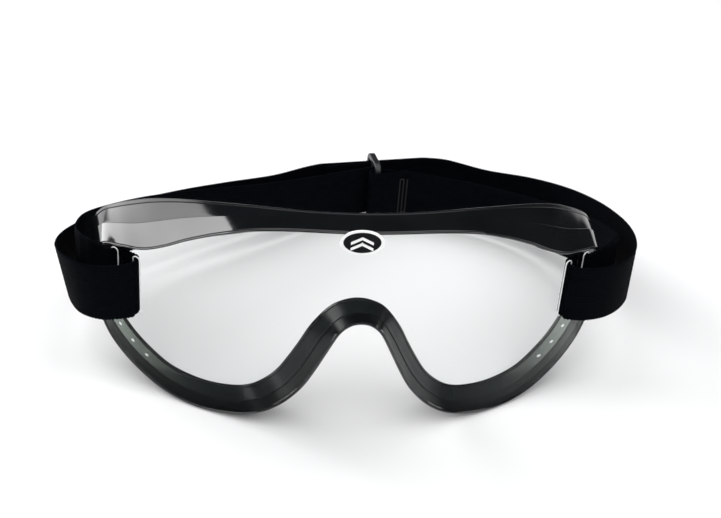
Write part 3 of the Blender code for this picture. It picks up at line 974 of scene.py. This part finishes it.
# ---------------------------------------------------------------- slider
def plate_mesh(name, across, up, corner, thickness):
    """Rounded upright plate: ranges across the track and up, centred on its thickness."""
    centres = ((across[1] - corner, up[1] - corner, 0), (across[0] + corner, up[1] - corner, 90),
               (across[0] + corner, up[0] + corner, 180), (across[1] - corner, up[0] + corner, 270))
    bm = bmesh.new()
    sides = []
    for distance in (SLIDER_AT - thickness / 2, SLIDER_AT + thickness / 2):
        ring = []
        for at, height, start in centres:
            for turn in np.radians(np.linspace(start, start + 90, 8)):
                flat = on_track(distance, at + math.cos(turn) * corner)
                ring.append([flat[0], flat[1], height + math.sin(turn) * corner])
        sides.append([bm.verts.new(p) for p in placed(ring)])
    count = len(sides[0])
    bm.faces.new(sides[0])
    bm.faces.new(sides[1][::-1])
    for k in range(count):
        m = (k + 1) % count
        bm.faces.new([sides[0][k], sides[0][m], sides[1][m], sides[1][k]])
    return closed_mesh(name, bm)


def make_slider():
    """Three-bar buckle with rounded ends, two windows and softened edges."""
    back_bar, centre_bar, front_window, front_bar = slider_lines()
    sill = (SLIDER_H - WINDOW_H) / 2
    across = (front_bar - BAR, back_bar + BAR)
    outline = plate_mesh("buckle", across, (0.0, SLIDER_H), SLIDER_CORNER, SLIDER_T)
    body = link("buckle", outline, plastic_material(), "slider", ["slider"])
    cutters = []
    for window in ((centre_bar, back_bar), (front_bar, front_window)):
        mesh = plate_mesh("window", window, (sill, SLIDER_H - sill), WINDOW_CORNER, SLIDER_T * 3)
        cutters.append(add_cutter(body, "window", mesh))
    add_bevel(body, SLIDER_ROUNDING, 3, 50)
    apply_modifiers(body)
    remove_all(cutters)


# ---------------------------------------------------------------- badge
def badge_plate(name, width, height, off, thickness, material, node=(), holes=0.0):
    """Oval plate or ring bent to the lens front; holes is the ring's inner share."""
    turns = np.linspace(0, 2 * math.pi, 49)
    radii = np.linspace(max(holes, PINHOLE), 1.0, 5)
    grids = []
    for lift in (off + thickness, off):
        grid = []
        for turn in turns:
            row = []
            for r in radii:
                x = BADGE_X + math.cos(turn) * width / 2 * r
                z = BADGE_Z + math.sin(turn) * height / 2 * r
                row.append(lens_front(x, z) + lens_normal(x) * lift)
            grid.append(row)
        grids.append(np.array(grid))
    mesh = grid_mesh(name, *grids)
    bm = bmesh.new()
    bm.from_mesh(mesh)
    bmesh.ops.remove_doubles(bm, verts=bm.verts, dist=1e-6)
    seam = [f for f in bm.faces if all(len(e.link_faces) > 2 for e in f.edges)]
    bmesh.ops.delete(bm, geom=seam, context="FACES_ONLY")
    bmesh.ops.recalc_face_normals(bm, faces=bm.faces)
    bm.to_mesh(mesh)
    bm.free()
    link(name, mesh, material, stands_for=node)


def badge_chevron(name, base, material):
    """One generic chevron, drawn as a bent bar whose ends are at height base."""
    left, right = BADGE_X - CHEVRON_HALF_W, BADGE_X + CHEVRON_HALF_W
    stops = [(left, base), (BADGE_X, base + CHEVRON_RISE), (right, base)]
    path = []
    for (x0, z0), (x1, z1) in zip(stops[:-1], stops[1:]):
        for t in np.linspace(0, 1, 7):
            path.append((x0 + (x1 - x0) * t, z0 + (z1 - z0) * t))
    outer, inner = [], []
    for x, z in path:
        bar = [lens_front(x, BADGE_Z + z + CHEVRON_BAR * d) for d in (-0.5, 0.0, 0.5)]
        inner.append([p + lens_normal(x) * CHEVRON_OFF[0] for p in bar])
        outer.append([p + lens_normal(x) * CHEVRON_OFF[1] for p in bar])
    mesh = grid_mesh(name, np.array(outer), np.array(inner))
    link(name, mesh, material)


def make_badge():
    """Generic mark: an oval with a white rim and two plain chevrons."""
    white = print_material("badge_white_ink", (0.90, 0.91, 0.91), (0.97, 0.97, 0.97))
    black = print_material("badge_black_ink", (0.002, 0.003, 0.004), (0.006, 0.007, 0.008), 0.08)
    field = (BADGE_W, BADGE_H)
    rim = (BADGE_W + RIM_MARGIN, BADGE_H + RIM_MARGIN)
    badge_plate("badge_field", *field, off=0.2, thickness=0.4, material=black, node=["badge"])
    badge_plate("badge_rim", *rim, off=0.3, thickness=0.5, material=white, holes=RIM_INNER)
    badge_chevron("badge_chevron_top", base=-0.4, material=white)
    badge_chevron("badge_chevron_low", base=-2.9, material=white)


# ---------------------------------------------------------------- stage
def make_camera():
    """Camera above the front, turned a little to the side and rolled."""
    turn = math.radians(7.47)
    height = math.radians(33.0)
    roll = math.radians(4.64)
    distance = 520.0
    flat = math.cos(height)
    back = Vector((-math.sin(turn) * flat, -math.cos(turn) * flat, math.sin(height)))
    right = Vector((0, 0, 1)).cross(back).normalized()
    up = back.cross(right)
    right_rolled = right * math.cos(roll) + up * math.sin(roll)
    up_rolled = up * math.cos(roll) - right * math.sin(roll)
    target = placed([(-2.48, 0.0, 83.42)])[0]
    camera = bpy.data.cameras.new("camera")
    camera.sensor_width = 36.0
    camera.lens = 70.1
    camera.clip_start = 0.01
    made = bpy.data.objects.new("camera", camera)
    axes = Matrix((right_rolled, up_rolled, back)).transposed().to_4x4()
    made.matrix_world = Matrix.Translation(target + back * distance * MM) @ axes
    bpy.context.scene.collection.objects.link(made)
    bpy.context.scene.camera = made


def area_light(name, place, aim, size, power):
    """White panel light at a place in metres, turned towards the aim."""
    light = bpy.data.lights.new(name, "AREA")
    light.shape = "RECTANGLE"
    light.size, light.size_y = size
    light.energy = power
    made = bpy.data.objects.new(name, light)
    made.location = place
    made.rotation_euler = (Vector(aim) - Vector(place)).to_track_quat("-Z", "Y").to_euler()
    bpy.context.scene.collection.objects.link(made)


def make_stage():
    """Floor, dim surroundings, a broad light overhead, a weak fill and a side panel."""
    bm = bmesh.new()
    bmesh.ops.create_grid(bm, x_segments=2, y_segments=2, size=4.0)
    mesh = bpy.data.meshes.new("floor")
    bm.to_mesh(mesh)
    bm.free()
    mesh.materials.append(floor_material())
    floor = bpy.data.objects.new("floor", mesh)
    floor.location.z = -FLOOR_DROP * MM
    bpy.context.scene.collection.objects.link(floor)
    world = bpy.data.worlds.new("world")
    bpy.context.scene.world = world
    world.use_nodes = True
    world.node_tree.nodes["Background"].inputs["Color"].default_value = (0.5, 0.52, 0.54, 1)
    world.node_tree.nodes["Background"].inputs["Strength"].default_value = 0.06
    area_light("overhead", (0.0, -0.6, 1.6), (0.0, -0.6, 0), size=(4.2, 3.2), power=76.0)
    area_light("fill_front", (0.25, -1.4, 0.7), (0, 0, 0.08), size=(1.2, 0.7), power=3.0)
    area_light("panel_back_left", (-0.95, 0.62, 0.45), (0, -0.05, 0.07), size=(0.75, 0.9), power=11.0)
    bpy.context.scene.view_settings.view_transform = "Standard"


make_camera()
make_stage()
make_lens()
make_slot_rims()
make_ring()
make_badge()
make_strap()
make_stitches()
make_slider()
